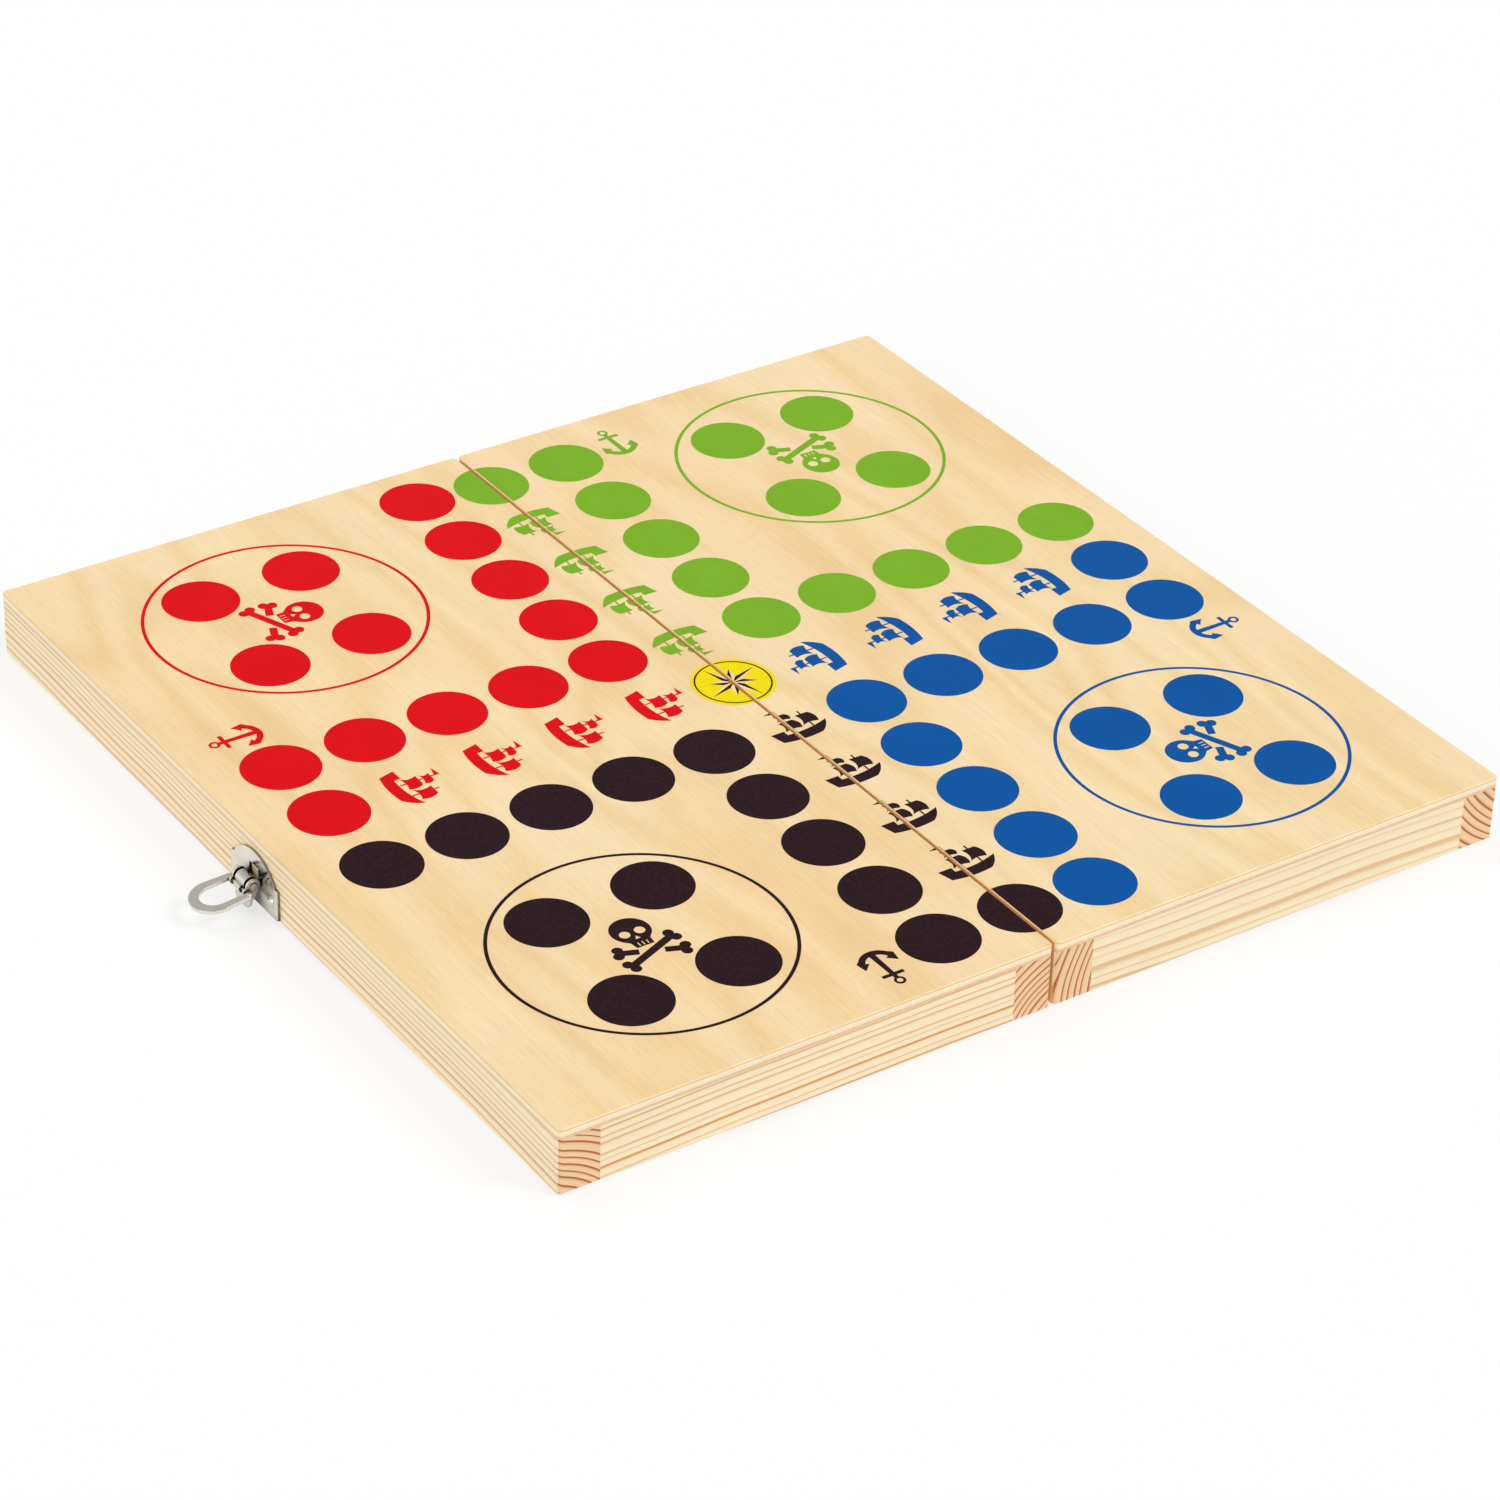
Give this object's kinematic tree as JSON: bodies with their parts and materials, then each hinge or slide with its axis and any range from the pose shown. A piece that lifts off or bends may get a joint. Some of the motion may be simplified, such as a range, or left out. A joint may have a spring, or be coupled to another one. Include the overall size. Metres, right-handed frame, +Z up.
{
  "type": "folding ludo board box",
  "caption": "Flat wooden box that unfolds at a hinged seam into a square ludo board, with printed panels outside, hollow trays inside and a metal ring clasp.",
  "frame": {"origin": "middle of the seam, on the plane of the two open rims", "axes": "+X across the seam to the half with the catch, +Y along the seam away from the viewer of the front edge, +Z up out of the playing panels"},
  "size_m": [0.3235, 0.298, 0.0208],
  "materials": {
    "plywood": "clear satin lacquer over pale veneer, screen-printed",
    "pine": "clear satin lacquer over planed pine",
    "nickel_sheet": "bright nickel plate on stamped steel sheet",
    "fastener_steel": "bright nickel plate on steel wire"
  },
  "bodies": {
    "left_half": {"left_panel": "plywood", "left_outer_rail": "pine", "left_seam_rail": "pine", "left_front_rail": "pine", "left_back_rail": "pine", "front_hinge_left_leaf": "nickel_sheet", "back_hinge_left_leaf": "nickel_sheet", "front_hinge_pin": "fastener_steel", "back_hinge_pin": "fastener_steel", "left_hinge_screws": "fastener_steel", "latch_base_plate": "nickel_sheet", "latch_pivot_pin": "fastener_steel", "latch_nails": "fastener_steel"},
    "right_half": {"right_panel": "plywood", "right_outer_rail": "pine", "right_seam_rail": "pine", "right_front_rail": "pine", "right_back_rail": "pine", "front_hinge_right_leaf": "nickel_sheet", "back_hinge_right_leaf": "nickel_sheet", "right_hinge_screws": "fastener_steel", "catch_plate": "nickel_sheet", "catch_nails": "fastener_steel"},
    "lever": {"latch_lever": "nickel_sheet"},
    "ring": {"latch_ring": "nickel_sheet"}
  },
  "joints": [
    {"name": "board_fold", "type": "hinge", "parent": "left_half", "child": "right_half", "pos_m": [0, 0, -0.00015], "axis": [0, 1, 0], "range_deg": [0, 180]},
    {"name": "lever_swing", "type": "hinge", "parent": "left_half", "child": "lever", "pos_m": [-0.1532, 0.0012, 0.0076], "axis": [0, 1, 0], "range_deg": [0, 150]},
    {"name": "ring_swing", "type": "hinge", "parent": "lever", "child": "ring", "pos_m": [-0.15507, 0.0012, 0.00626], "axis": [0, 1, 0], "range_deg": [-234, 0]}
  ],
  "couplings": [
    {"joint": "ring_swing", "follows": "lever_swing", "ratio": -1.56}
  ]
}
